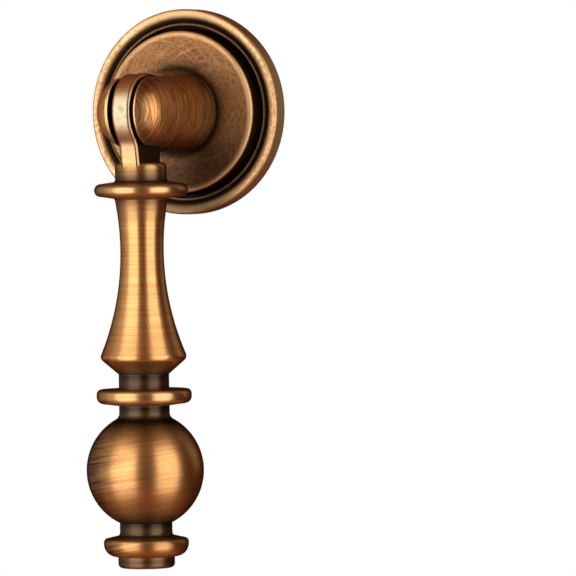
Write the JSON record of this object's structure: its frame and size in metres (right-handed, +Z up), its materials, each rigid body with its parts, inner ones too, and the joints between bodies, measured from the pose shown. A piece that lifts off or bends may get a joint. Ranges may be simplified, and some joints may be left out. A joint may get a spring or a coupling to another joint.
{
  "type": "drop pull",
  "caption": "Drop pull for a drawer or cabinet door: a round stepped backplate with a slotted post, and a turned vase-and-ball drop that swings on a hinge pin.",
  "frame": {"origin": "centre of the backplate's back face, at the mouth of the screw hole", "axes": "+Y into the drawer front along the screw hole, -Y out towards the hand, +Z up, the drop hangs along -Z"},
  "size_m": [0.03, 0.0255, 0.0806],
  "materials": {
    "antique_bronze": "brushed antique bronze plating under clear lacquer",
    "pin_steel": "darkened"
  },
  "bodies": {
    "base": {"backplate": "antique_bronze", "post": "antique_bronze", "hinge_pin": "pin_steel"},
    "drop": {"drop": "antique_bronze"}
  },
  "joints": [
    {"name": "drop_swing", "type": "hinge", "parent": "base", "child": "drop", "pos_m": [0, -0.0181, 0], "axis": [-1, 0, 0], "range_deg": [-9, 155]}
  ]
}
